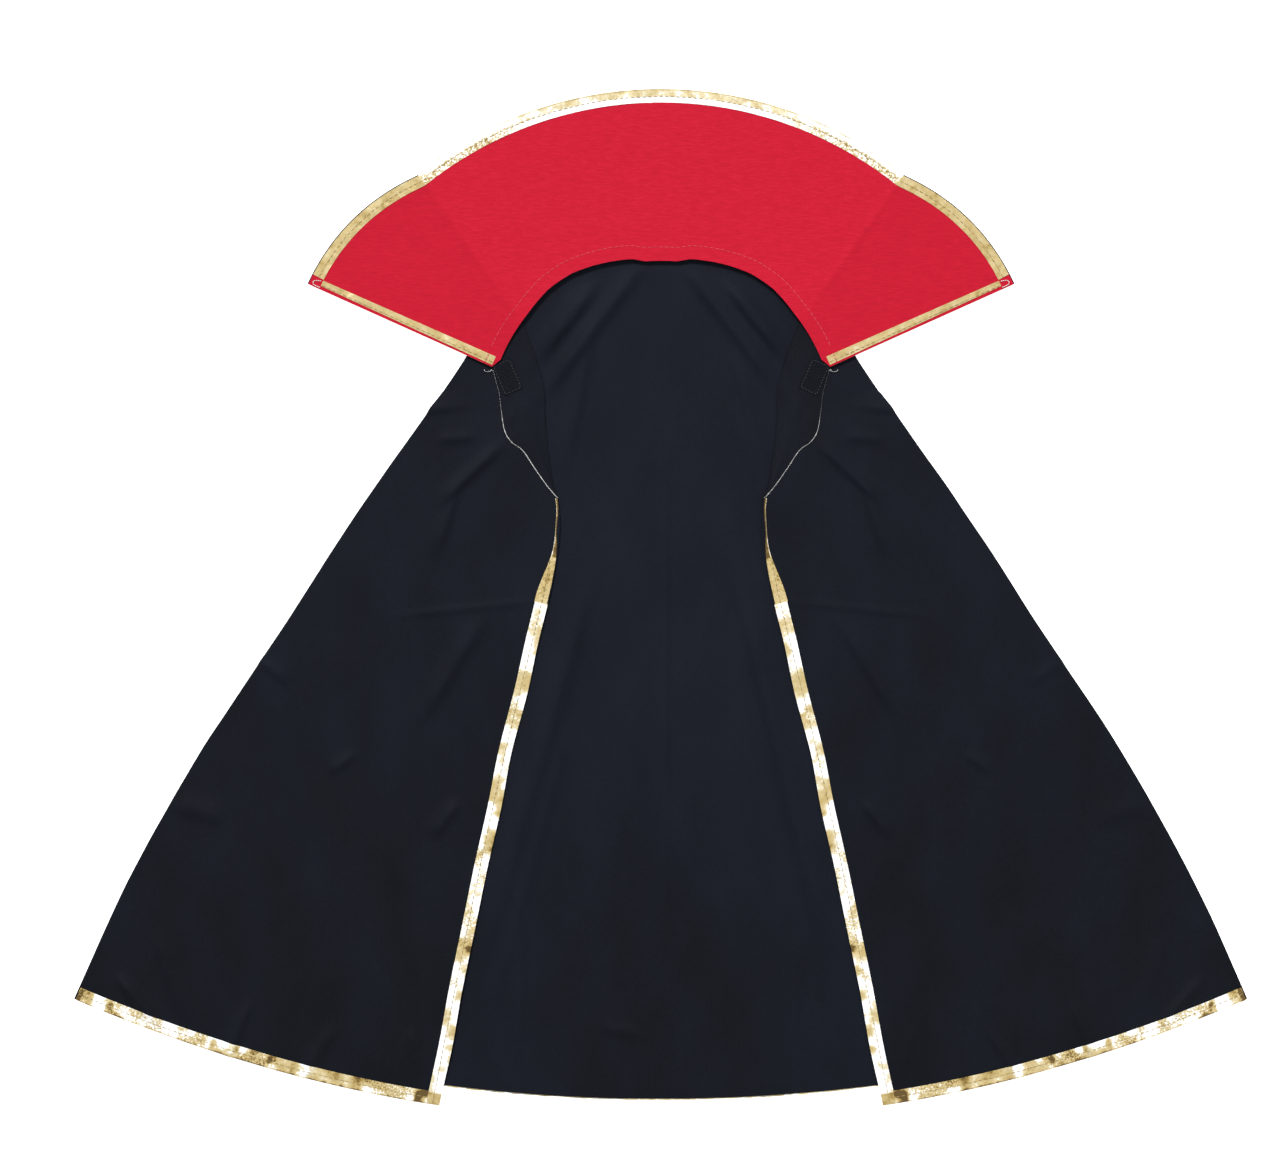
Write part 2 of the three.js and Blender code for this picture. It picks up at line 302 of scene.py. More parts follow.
def eased_neckline(inset=0.0, start=-NECKLINE_END, end=NECKLINE_END):
    """The collar's lower edge: tight at the middle of the back and by its ends, slack between them."""
    degrees = np.linspace(start, end, 121)
    from_middle = (0, 5, 9, 20, 28, 36, 46, NECKLINE_END)
    radii = (145.2, 145.3, 148.4, 151.2, 152.8, 152, 148, 144.2)
    radius = np.interp(np.abs(degrees), from_middle, radii)
    angle = np.radians(degrees)
    return (radius + inset)[:, None] * np.stack([np.sin(angle), np.cos(angle)], 1)


# ---- Meshes ----
def place(points):
    """Neck-centred millimetres to the frame's metres."""
    return (np.asarray(points, float) + (0, neck_y, 0)) * MM


def grid_object(name, points, material, thickness, side=-1):
    """A sheet through a grid of points (rows, columns, xyz), given a wall below it by Solidify.

    side = 1 mirrors it to x > 0. Faces are wound so that they point up. Its UV counts rows and columns.
    """
    points = np.array(points, float)
    if side > 0:
        points[..., 0] *= -1
    rows, columns = points.shape[:2]
    index = np.arange(rows * columns).reshape(rows, columns)
    faces = np.stack([index[:-1, :-1], index[1:, :-1], index[1:, 1:], index[:-1, 1:]], -1).reshape(-1, 4)
    a, b, d = points[0, 0], points[-1, 0], points[0, -1]
    if np.cross(b - a, d - a)[2] < 0:
        faces = faces[:, ::-1]
    mesh = bpy.data.meshes.new(name)
    mesh.from_pydata(place(points.reshape(-1, 3)), [], faces.tolist())
    v, u = np.meshgrid(np.arange(rows), np.arange(columns), indexing="ij")
    uv = np.stack([u, v], -1).reshape(-1, 2).astype(np.float32)
    layer = mesh.uv_layers.new(name="cloth")
    layer.data.foreach_set("uv", uv[faces.reshape(-1)].reshape(-1))
    mesh.polygons.foreach_set("use_smooth", np.full(len(faces), True))
    # the rim is sharp, so that the sheet's face is shaded flat right up to it
    ends = np.zeros(len(mesh.edges) * 2, int)
    mesh.edges.foreach_get("vertices", ends)
    row, column = ends.reshape(-1, 2) // columns, ends.reshape(-1, 2) % columns
    rim = np.zeros(len(row), bool)
    for line, last in ((row, rows - 1), (column, columns - 1)):
        rim |= (line == 0).all(1) | (line == last).all(1)
    sharp = mesh.attributes.new("sharp_edge", "BOOLEAN", "EDGE")
    sharp.data.foreach_set("value", rim)
    mesh.materials.append(material)
    piece = bpy.data.objects.new(name, mesh)
    bpy.context.collection.objects.link(piece)
    wall = piece.modifiers.new("wall", "SOLIDIFY")
    wall.thickness = thickness * MM
    wall.offset = -1
    return piece


def mark(piece, name, values):
    """Gives the piece's vertices an attribute that its material reads."""
    layer = piece.data.attributes.new(name, "FLOAT", "POINT")
    layer.data.foreach_set("value", np.asarray(values, np.float32).reshape(-1))


def sheet_area(piece):
    """Area of one face of a sheet, in square metres, before its wall is added."""
    area = np.zeros(len(piece.data.polygons))
    piece.data.polygons.foreach_get("area", area)
    return float(area.sum())


def declare(piece, width, length, *rests_on):
    """Compares a sheet's area with the width x length millimetres of cloth or ribbon that it is cut from,
    and keeps no result; rests_on, the pieces it is laid on, is not used.
    """
    blank = width * length * MM**2
    min(sheet_area(piece), blank)


def with_height(flat, height):
    """A plane grid with its heights."""
    return np.concatenate([flat, np.broadcast_to(height, flat.shape[:-1])[..., None]], -1)


def stitches(name, line, height, material, side=-1, pitch=STITCH, radius=0.28):
    """A row of stitches: each is a low spindle that dips at both ends, one ring of 6 at 5 stations.

    line is a plane curve, height a function of plane points.
    """
    row = resample(line, pitch)
    start, end = row[:-1], row[1:]
    stations = np.linspace(0.08, 0.92, 5)
    swell = np.array([0.35, 0.9, 1, 0.9, 0.35]) * radius
    lift = np.array([-0.12, 0.1, 0.16, 0.1, -0.12])
    mid = start[:, None] + (end - start)[:, None] * stations[None, :, None]
    normal = left_normal(end - start)
    ring = np.radians(np.arange(6) * 60)
    flat = mid[:, :, None, :] + normal[:, None, None, :] * (np.cos(ring)[:, None] * swell[:, None, None])
    z = (height(mid) + lift)[:, :, None] + np.sin(ring) * swell[:, None]
    points = np.concatenate([flat, z[..., None]], -1)
    if side > 0:
        points[..., 0] *= -1
    count = len(start)
    base = np.arange(count)[:, None, None] * 30
    k, j = np.meshgrid(np.arange(4), np.arange(6), indexing="ij")
    quads = np.stack([k * 6 + j, k * 6 + (j + 1) % 6, (k + 1) * 6 + (j + 1) % 6, (k + 1) * 6 + j], -1)
    faces = (base + quads.reshape(-1, 4)[None]).reshape(-1, 4)
    caps = np.stack([np.arange(5, -1, -1), np.arange(24, 30)])
    caps = (base + caps[None]).reshape(-1, 6)
    if side > 0:
        faces, caps = faces[:, ::-1], caps[:, ::-1]
    mesh = bpy.data.meshes.new(name)
    mesh.from_pydata(place(points.reshape(-1, 3)), [], faces.tolist() + caps.tolist())
    mesh.polygons.foreach_set("use_smooth", np.full(len(mesh.polygons), True))
    mesh.materials.append(material)
    piece = bpy.data.objects.new(name, mesh)
    bpy.context.collection.objects.link(piece)
    return piece


# ---- Materials ----
def colour(hexadecimal):
    """sRGB hex to linear RGBA."""
    srgb = np.array([int(hexadecimal[i:i + 2], 16) for i in (1, 3, 5)]) / 255
    linear = np.where(srgb <= 0.04045, srgb / 12.92, ((srgb + 0.055) / 1.055) ** 2.4)
    return (*linear, 1)


def node(tree, kind, settings=None, **inputs):
    """Adds a node. settings are its attributes; inputs, by name or as i0, are values or sockets to link."""
    new = tree.nodes.new(kind)
    for key, value in (settings or {}).items():
        setattr(new, key, value)
    for key, value in inputs.items():
        numbered = key[0] == "i" and key[1:].isdigit()
        socket = new.inputs[int(key[1:]) if numbered else key.replace("_", " ")]
        if isinstance(value, bpy.types.NodeSocket):
            tree.links.new(value, socket)
        else:
            socket.default_value = value
    return new


def new_material(name, **principled):
    """A material with its Principled shader's own constants set."""
    material = bpy.data.materials.new(name)
    material.use_nodes = True
    shader = material.node_tree.nodes["Principled BSDF"]
    for key, value in principled.items():
        shader.inputs[key.replace("_", " ")].default_value = value
    return material, material.node_tree, shader


def ramp(tree, fac, stops):
    """A colour ramp through (place, hex) stops."""
    new = node(tree, "ShaderNodeValToRGB", Fac=fac)
    elements = new.color_ramp.elements
    while len(elements) < len(stops):
        elements.new(0.5)
    for element, (position, value) in zip(elements, stops):
        element.position = position
        element.color = colour(value)
    return new.outputs["Color"]


def scaled_coordinates(tree, size):
    """Object coordinates counted in lengths of size = (x, y, z) millimetres."""
    where = node(tree, "ShaderNodeTexCoord").outputs["Object"]
    scale = tuple(1 / (s * MM) for s in size)
    return node(tree, "ShaderNodeMapping", Vector=where, Scale=scale).outputs["Vector"]


def cloudy(tree, size, **inputs):
    """Noise whose lumps are size = (x, y, z) millimetres, from 0 to 1."""
    where = scaled_coordinates(tree, size)
    return node(tree, "ShaderNodeTexNoise", Vector=where, Scale=1.0, **inputs).outputs["Fac"]


def attribute(tree, name):
    """A vertex attribute that mark() gave."""
    return node(tree, "ShaderNodeAttribute", {"attribute_name": name}).outputs["Fac"]


def mixed(tree, factor, a, b):
    """a (1 - factor) + b factor."""
    return node(tree, "ShaderNodeMix", {"data_type": "FLOAT"}, Factor=factor, i2=a, i3=b).outputs[0]


def times_plus(tree, a, b, c):
    """a b + c."""
    return node(tree, "ShaderNodeMath", {"operation": "MULTIPLY_ADD"}, i0=a, i1=b, i2=c).outputs[0]


def less_half(tree, a):
    """a - 0.5."""
    return node(tree, "ShaderNodeMath", {"operation": "SUBTRACT"}, i0=a, i1=0.5).outputs[0]


def bumped(tree, shader, height, strength, distance, settings=None):
    """Raises the surface by a height, at most distance millimetres."""
    bump = node(tree, "ShaderNodeBump", settings, Height=height, Strength=strength, Distance=distance * MM)
    tree.links.new(bump.outputs["Normal"], shader.inputs["Normal"])


def tricot(name, dark, light):
    """Warp-knit polyester tricot: fine upright wales, and faint clouds where it was pressed.

    The vertex attribute "rubbed" shifts its tone, from -1, darkest, to 1, palest.
    """
    material, tree, shader = new_material(name, Roughness=0.7, Sheen_Weight=0.03, Sheen_Roughness=0.5,
                                          Specular_IOR_Level=0.1)
    # wales are 0.7 mm apart on the cloth, drawn at 1.6 mm so that they show
    wales = node(tree, "ShaderNodeTexWave", {"wave_type": "BANDS", "bands_direction": "X"},
                 Vector=scaled_coordinates(tree, (10.2, 40, 40)), Scale=2.0, Distortion=1.2, Detail=2.0,
                 Detail_Scale=3.0).outputs["Fac"]
    grain = cloudy(tree, (1.1, 1.8, 2), Detail=3.0)
    cloud = cloudy(tree, (45, 90, 60), Detail=4.0)
    # tone = mix + 0.2 rubbed + 0.12 wales
    toned = times_plus(tree, attribute(tree, "tone_shift"), 0.2, mixed(tree, 0.5, grain, cloud))
    tone = times_plus(tree, wales, 0.12, toned)
    tree.links.new(ramp(tree, tone, [(0.2, dark), (0.9, light)]), shader.inputs["Base Color"])
    bumped(tree, shader, times_plus(tree, wales, 0.4, grain), 0.3, 0.2)
    return material


def slub_weave(name, deep, mid, bright):
    """Plain-woven slub polyester: thick and thin weft threads run across the collar as fine streaks.

    The vertex attribute "pressed" is 1 on the wings and 0 elsewhere; there the red is darkened a little as
    painted shade beyond the packing crease.
    """
    material, tree, shader = new_material(name, Roughness=0.75, Sheen_Weight=0.03, Sheen_Roughness=0.4,
                                          Specular_IOR_Level=0.1)
    # slubs are 4 to 16 mm long and one thread, about 0.6 mm, high
    slub = cloudy(tree, (8, 0.8, 20), Detail=4.0, Roughness=0.6)
    thread = cloudy(tree, (1.0, 0.8, 2), Detail=2.0)
    mix = mixed(tree, 0.3, slub, thread)
    # painted shade: the wings a little darker red than the middle
    tone = times_plus(tree, attribute(tree, "pressed"), -0.07, mix)
    stops = [(0.2, deep), (0.5, mid), (0.8, bright)]
    tree.links.new(ramp(tree, tone, stops), shader.inputs["Base Color"])
    bumped(tree, shader, mix, 0.25, 0.2)
    return material


def foil_ribbon(name):
    """Gold foil laminated on woven ribbon, its reflections painted into its colour. Where it is flat it is
    painted white as a highlight, where it is crinkled it is a matte gold, and round each crinkle it is
    speckled brown as painted dark reflection.

    The vertex attributes are "flat", from 0, crinkled and painted darker, to 1, smooth and painted white,
    and
    "crumple", which adds painted specks of highlight and dark reflection.
    """
    material, tree, shader = new_material(name, Metallic=0.25, Specular_IOR_Level=0.4, Roughness=0.45)
    # crinkled patches are about 8 mm long, specks 1 mm
    patch = cloudy(tree, (8, 8, 8), Detail=2.5, Roughness=0.6, Distortion=0.4)
    speck = cloudy(tree, (1.5, 1.5, 1.5), Detail=2.0, Roughness=0.7)
    # tone = flat + 1.3 (patch - 0.5) + (0.5 + 3 crumple) (speck - 0.5)
    contrast = times_plus(tree, attribute(tree, "painted_specks"), 3.0, 0.5)
    rough = times_plus(tree, less_half(tree, patch), 1.3, attribute(tree, "flat"))
    tone = times_plus(tree, less_half(tree, speck), contrast, rough)
    spread = node(tree, "ShaderNodeMapRange", Value=tone, From_Min=-0.5, From_Max=1.0)
    # the lowest stops are painted dark reflection, the highest painted highlight up to white, and the gold
    # between them is the foil's own colour
    stops = [(0.0, "#5C4820"), (0.14, "#93783C"), (0.28, "#BAA46C"), (0.5, "#CAB889"), (0.66, "#E0D6B6"),
             (0.72, "#FFFFFF")]
    tree.links.new(ramp(tree, spread.outputs["Result"], stops), shader.inputs["Base Color"])
    bumped(tree, shader, speck, 0.5, 0.3)
    return material


def spun_thread(name, dark, light):
    """Spun polyester thread: two plies, seen as a slanting change of tone every 0.9 mm."""
    material, tree, shader = new_material(name, Roughness=0.6, Sheen_Weight=0.2)
    ply = node(tree, "ShaderNodeTexWave", Vector=scaled_coordinates(tree, (5.6, 5.6, 5.6)), Scale=2.0,
               Distortion=0.5)
    tree.links.new(ramp(tree, ply.outputs["Fac"], [(0.2, dark), (0.8, light)]), shader.inputs["Base Color"])
    return material


def hook_pile(name, dark, light):
    """Woven nylon hook-and-loop tape: a dense pile of stubs 1.2 mm apart over a dark ground."""
    material, tree, shader = new_material(name, Roughness=0.85, Specular_IOR_Level=0.08)
    where = scaled_coordinates(tree, (1.2, 1.2, 1.2))
    stub = node(tree, "ShaderNodeTexVoronoi", Vector=where, Scale=1.0, Randomness=0.6).outputs["Distance"]
    tree.links.new(ramp(tree, stub, [(0.1, light), (0.6, dark)]), shader.inputs["Base Color"])
    bumped(tree, shader, stub, 0.9, 0.7, {"invert": True})
    return material


def felted(name, dark, light):
    """Non-woven interlining or woven ribbon back: white fibres with a faint tangle."""
    material, tree, shader = new_material(name, Roughness=0.9)
    fibre = cloudy(tree, (1.5, 1.5, 1.5), Detail=4.0)
    tree.links.new(ramp(tree, fibre, [(0.35, dark), (0.65, light)]), shader.inputs["Base Color"])
    return material


black_knit = tricot("black_tricot_knit", "#04070D", "#131824")
black_lining = tricot("black_tricot_lining", "#05070B", "#131722")
red_weave = slub_weave("red_slub_weave", "#A20D25", "#B6152C", "#C9233C")
gold_foil = foil_ribbon("gold_foil_ribbon")
ribbon_back = felted("white_ribbon_back", "#B9B9B6", "#ECECEA")
interlining = felted("white_non_woven_interlining", "#D8D6D0", "#F2F1EC")
gold_thread = spun_thread("gold_polyester_thread", "#6E5E36", "#B79E5C")
red_thread = spun_thread("red_polyester_thread", "#B02238", "#DC5468")
black_thread = spun_thread("black_polyester_thread", "#101319", "#1E222A")
white_thread = spun_thread("white_polyester_thread", "#C8C8C4", "#F4F4F0")
hook_tape = hook_pile("black_nylon_hook_tape", "#0B0E13", "#191D24")
loop_tape = hook_pile("black_nylon_loop_tape", "#0B0E13", "#181B22")


# ---- Height of each layer over the plane ----
CREASE_RELIEF = 1.35  # over the listed heights
# each crease: where it starts and ends, its half width and its height
BACK_CREASES = [
    ((-58, 118), (-100, 66), 4.5, 4.2), ((-22, 132), (-88, 46), 4.5, 3.0), ((-57, 84), (-75, -12), 5, 1.6),
    ((58, 120), (102, 66), 4.5, 3.8), ((26, 132), (90, 48), 5, 2.4), ((62, 60), (82, -20), 5, 1.4),
    ((4, -60), (3, -400), 2.2, 1.3), ((-62, -130), (-137, -395), 7, 3.0),
    ((-80, -250), (-128, -430), 4, 1.5), ((62, -110), (130, -395), 7, 2.8),
    ((-111, -392), (-113, -484), 2.6, 1.8),
    ((-45, -468), (-18, -474), 3, 1.5), ((60, 20), (90, -60), 6, 1.2), ((-30, -200), (20, -330), 14, 1.2),
    ((110, -400), (108, -470), 3, 1.4),
]
FRONT_CREASES = [
    ((-205, -138), (-108, -128), 1.8, 0.8), ((-131, -6), (-172, -44), 3.5, 2.6),
    ((-164, -40), (-178, -84), 4, 1.8), ((-185, 26), (-130, 34), 3, 1.6),
    ((-145, -146), (-187, -215), 5, 2.2),
    ((-164, -290), (-180, -312), 3.5, 2.2), ((-432, -430), (-404, -462), 3, 2.8),
    ((-400, -400), (-385, -452), 5, 1.4), ((-330, -452), (-346, -492), 3, 1.7),
    ((-262, -470), (-285, -505), 3.5, 1.5), ((-245, -250), (-262, -262), 3, 1.5),
    ((-352, -300), (-385, -290), 6, 1.4), ((-300, -190), (-318, -176), 3, 1.3),
    ((-200, -470), (-196, -500), 3, 1.2), ((-150, 4), (-176, 2), 3, 1.3),
]
LAPEL_CREASES = [
    ((-122, 58), (-108, 24), 4, 1.4), ((-116, 40), (-120, 16), 3, 1.2), ((-104, 80), (-112, 56), 5, 1.0),
]


def creases(p, lines):
    """The sum of several creases."""
    return CREASE_RELIEF * sum(crease(p, *line) for line in lines)


def to_left(p):
    """The same points with those of x > 0 mirrored to x < 0."""
    return np.stack([-np.abs(p[..., 0]), p[..., 1]], -1)


def from_neck_end(p):
    """Distance to the nearer neck end."""
    return np.linalg.norm(to_left(p) - neck_end, axis=-1)


def open_area(p):
    """1 in the open, easing to 0 under the collar and by the sewn neck ends, where the cloth is flat."""
    under_collar = smoothstep(136, 147, np.linalg.norm(p, axis=-1)) * (p[..., 1] > 40)
    return (1 - under_collar) * smoothstep(27, 62, from_neck_end(p))


def back_height(p):
    """Inner face of the back: soft lengthwise waves, folds that fan from the neckline."""
    z = 1.0 * noise(p, 60, 11, (1, 3)) + 0.3 * noise(p, 22, 12, (1, 2.2)) + 0.7
    return BACK_Z + np.clip(z + creases(p, BACK_CREASES), 0, 5) * open_area(p)


def front_height(p, side=-1):
    """Outer face of a front: broad soft hollows, a pressed crosswise crease, puckers along the ribbons."""
    seed = 21 if side < 0 else 25
    z = 1.2 * noise(p, 70, seed, (1, 2), 30) + 0.4 * noise(p, 25, seed + 1, (1, 1.8), 20) + 0.9
    z += creases(p, FRONT_CREASES) * (1.0 if side < 0 else 0.75)
    # the front takes up most of the back's own height below it
    back = back_height(p * (-side, 1))
    return FRONT_Z + np.clip(z, 0, 5) * open_area(p) + 0.9 * (back - BACK_Z)


def lapel_height(p, side=-1):
    """Turned-back corner: it follows the front it lies on, with a few folds of its own."""
    own = 0.3 + 0.4 * noise(p, 30, 31) + creases(p, LAPEL_CREASES)
    return LAPEL_Z - PRESSED + own * open_area(p) + front_height(p, side) - FRONT_Z


def collar_height(p):
    """Stiff collar: a slight dish, a pressed ridge at each packing crease, level at its ends."""
    p = to_left(p)
    z = 0.5 * noise(p, 90, 41) + 0.12 * noise(p, 14, 42, (2, 1))
    z *= smoothstep(12, 70, from_neck_end(p))
    return z + crease(p, *PACKING_CREASE, 3.0, 0.4, ends=0.12, lean=1.0)


def at(base):
    """The height function of the collar's layer whose upper face is at base."""
    return lambda p: base + collar_height(p)


# ---- Cloth of the body ----
def back_tone_shift(p):
    """Paler down the middle of the back, darker at the middle of the hem."""
    middle = 0.25 - 1.2 * smoothstep(-230, -440, p[..., 1])
    return middle * np.exp(-((p[..., 0] / 120) ** 2)) - 0.2


def front_tone_shift(p):
    """Darker towards the hem."""
    return -0.5 - 0.6 * smoothstep(-60, -480, p[..., 1])


SIDES = ((-1, "left"), (1, "right"))


def both(build):
    """Builds a piece for each side."""
    for side, word in SIDES:
        build(side, word)


def stand_with_collar(piece):
    """Bakes the piece's transform into its mesh."""
    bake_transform(piece)


def swing_with_front(piece):
    """Bakes the piece's transform into its mesh."""
    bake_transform(piece)


def build_back():
    """The back runs on under the collar, past the top of the side fold."""
    hidden = SIDE_TOP - side_down * 14
    left = np.vstack([hidden, side_fold])
    right = left * (-1, 1)
    chord_rise = NECK_RADIUS + 10 - hidden[1]
    top = bowed(hidden, hidden * (-1, 1), rise(chord_rise))
    flat = coons(left, right, top, back_hem, 240, 190)
    back = grid_object("back_cloth", with_height(flat, back_height(flat)), black_knit, CLOTH)
    mark(back, "tone_shift", back_tone_shift(flat))
    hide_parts("back_panel", "neck_yoke")
    stand_with_collar(back)
    declare(back, 940, 675)


def side_roll(edge, low, high, steps=7):
    """The cloth's turn at the side fold: a half circle from the lower layer to the upper one."""
    normal = left_normal(np.gradient(edge, axis=0))
    middle, radius = (low + high) / 2, (high - low) / 2
    angle = np.radians(np.linspace(-90, 60, steps))
    flat = edge[:, None] - normal[:, None] * (radius[:, None] * np.cos(angle))[..., None]
    z = middle[:, None] + radius[:, None] * np.sin(angle)
    return np.concatenate([flat, z[..., None]], -1)


def front_sheet(name, flat, height, side):
    """A part of a front, with the turn at the side fold along its first column."""
    edge = flat[:, 0]
    rolled = side_roll(edge, back_height(edge * (-side, 1)), height(edge))
    points = np.concatenate([rolled, with_height(flat, height(flat))], 1)
    piece = grid_object(name, points, black_knit, CLOTH, side)
    mark(piece, "tone_shift", front_tone_shift(points[..., :2]))
    return piece


def build_front(side, word):
    """The part of a front that opens. Its edge is tucked under the turned corner."""
    cut = SIDE_TOP + side_down
    inner_top = cut + side_in * 44
    tucked = lapel_edge[lapel_edge[:, 1] < inner_top[1] - 8]
    tuck = CORNER_TUCK * smoothstep(LAPEL_TIP[1], LAPEL_TIP[1] + 40, tucked[:, 1])
    hidden_edge = np.vstack([inner_top, tucked + np.stack([tuck, 0 * tuck], 1), front_edge[1:]])
    flat = coons(side_fold, hidden_edge, np.array([cut, inner_top]), front_hem, 150, 230)
    piece = front_sheet(f"{word}_front_cloth", flat, lambda p: front_height(p, side), side)
    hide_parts(f"{word}_front_panel", f"{word}_side_turn")
    swing_with_front(piece)
    declare(piece, 400, 560, "back_cloth")


def build_shoulder(side, word):
    """The small corner of a front that stays at the neck end, partly under the collar."""
    cut = SIDE_TOP + side_down * 2.4
    outer, inner = SIDE_TOP - side_down * 14, np.array([-126.0, 74.0])
    low_inner = cut + side_in * 40
    flat = coons(np.array([outer, cut]), np.array([inner, low_inner]), np.array([outer, inner]),
                 np.array([cut, low_inner]), 20, 14)
    # just below the front, which overlaps it
    piece = front_sheet(f"{word}_shoulder_cloth", flat, lambda p: front_height(p, side) - 0.12, side)
    stand_with_collar(piece)
    declare(piece, 44, 22, "back_cloth")


def build_lapel(side, word):
    """The front's turned-back corner at the neck, with its fold rolled down onto the back."""
    neck = arc(0, NECK_RADIUS + 8, -neck_span - 0.6, LAPEL_NECK_ANGLE - 90, 20)
    free = np.vstack([neck[:1], lapel_edge[1:]])
    fold = np.vstack([neck[-1], lapel_fold[1:]])
    flat = coons(free, fold, neck, np.array([free[-1], fold[-1] + (0.4, 0)]), 46, 120)
    edge = flat[:, -1]
    low = back_height(edge * (-side, 1)) + CLOTH + 0.2
    # it thins from the free edge, which lies on the front, to the fold, which lies on the back
    share = np.linspace(0, 1, flat.shape[1])
    height = lapel_height(flat, side)
    height = height + smoothstep(0.45, 1, share) * (low[:, None] + 0.3 - height)
    roll = side_roll(edge * (-1, 1), low, height[:, -1])[:, ::-1] * (-1, 1, 1)
    points = np.concatenate([with_height(flat, height), roll], 1)
    piece = grid_object(f"{word}_lapel_cloth", points, black_knit, CLOTH, side)
    mark(piece, "tone_shift", np.full(points.shape[:2], -0.9))
    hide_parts(f"{word}_lapel", f"{word}_neck_corner")
    stand_with_collar(piece)
    declare(piece, 60, 175, f"{word}_front_cloth", "back_cloth")


build_back()
for build in (build_front, build_shoulder, build_lapel):
    both(build)


# ---- Collar ----
seam_span = neck_span - 5.4


def pressed(p):
    """0 on the collar's middle, 1 beyond the crease that it was packed along, where the red is darkened as
    painted shade.
    """
    a, b = np.array(PACKING_CREASE)
    beyond = -(to_left(p) - a) @ left_normal(b - a)[0]
    return smoothstep(-2.5, 2.5, beyond)


def turn_with_wing(piece):
    """Bakes the piece's transform into its mesh."""
    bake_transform(piece)


def middle_patch(inset):
    """The collar between its wings."""
    neck = eased_neckline(inset, -seam_span, seam_span)
    edge = offset(collar_edge[2:-2], -inset)
    return coons(np.array([edge[0], neck[0]]), np.array([edge[-1], neck[-1]]), edge, neck, 260, 100)


def wing_patch(inset, edge_inset):
    """The left wing, its outer edge set in further, but not by the crease."""
    edge = np.vstack([wing_edge, collar_edge[1:3]])
    edge = offset(edge, -inset - edge_inset * (1 - smoothstep(-175, -150, edge[:, 0])))
    neck = np.vstack([neck_end, eased_neckline(inset, end=-seam_span)])
    return coons(np.array([edge[0], neck[0]]), np.array([edge[-1], neck[-1]]), edge, neck, 90, 100)


def collar_sheet(name, flat, z, finish, thickness, side=-1):
    """One layer of the collar, with its upper face at z."""
    piece = grid_object(name, with_height(flat, at(z)(flat)), finish, thickness, side)
    # the mask of the wings' painted shade
    mark(piece, "pressed", pressed(flat))
    return piece


# layer, node, cloth, slot, height of its upper face, thickness, how far it stops inside the outline
layers = [
    ("backing", "backing", black_lining, "black_backing", COLLAR_BACKING_Z, 0.35, 0.3),
    ("interlining", "stiffener", interlining, "interlining", COLLAR_INTERLINING_Z, 0.4, 1.2),
    ("face", "face", red_weave, "red_face", COLLAR_FACE_Z, 0.5, 0.0),
]

below, wing_below = "back_cloth", "lapel_cloth"
for layer, cad_layer, finish, slot, z, thickness, inset in layers:
    piece = collar_sheet(f"collar_{layer}_cloth", middle_patch(inset), z, finish, thickness)
    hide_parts(f"collar_{cad_layer}")
    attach(piece, "collar")
    declare(piece, 420, 290, below)
    for side, word in SIDES:
        flat = wing_patch(inset, WING_TURN if layer == "face" else 0)
        piece = collar_sheet(f"{word}_wing_{layer}_cloth", flat, z, finish, thickness, side)
        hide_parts(f"{word}_wing_{cad_layer}")
        turn_with_wing(piece)
        declare(piece, 150, 235, f"{word}_{wing_below}")
    below, wing_below = f"collar_{layer}_cloth", f"wing_{layer}_cloth"


# ---- Ribbons ----
def foil_relief(p):
    """Crinkles pressed into the foil."""
    return 0.16 * noise(p, 3.0, 51) + 0.22 * noise(p, 8.0, 52)


def ribbon(name, edge, near, wide, height, painted_glint, material=gold_foil, side=-1, lift=RIBBON_LIFT,
           painted_specks=0.0, on=()):
    """A band of ribbon over a surface, between two distances from an edge.

    evenness(s, u) is how smooth its foil lies, at shares s and u of its length and width, and so its
    painted
    reflection: 0 crinkled and painted dark, 1 smooth and painted white as a highlight. crumple(s, u) is how
    speckled it is with painted highlight and dark reflection. Either can be a number.
    """
    flat = strip(edge, near, wide, 9, 1.4)
    z = height(flat) + lift + foil_relief(flat)
    piece = grid_object(name, with_height(flat, z), material, RIBBON_THICKNESS, side)
    s, u = np.meshgrid(np.linspace(0, 1, flat.shape[0]), np.linspace(0, 1, flat.shape[1]), indexing="ij")
    # both attributes drive the foil's painted reflection
    for attribute, value in (("flat", painted_glint), ("painted_specks", painted_specks)):
        mark(piece, attribute, value(s, u) if callable(value) else np.full(s.shape, value))
    declare(piece, max(flat_width(flat), RIBBON) + 0.6, lengths(edge)[-1] + 2, *on)
    return piece


def flat_width(flat):
    """Greatest width of a strip."""
    return np.linalg.norm(flat[:, -1] - flat[:, 0], axis=1).max()


def patches_along(s, length, size, seed):
    """Random values from -1 to 1 that change every size millimetres along a ribbon."""
    return noise(np.stack([s * length, 0 * s], -1), size, seed)


def islands(s, u, length, size, seed):
    """Random values from -1 to 1 in islands of size millimetres on a ribbon."""
    return noise(np.stack([s * length, u * RIBBON], -1), size, seed)


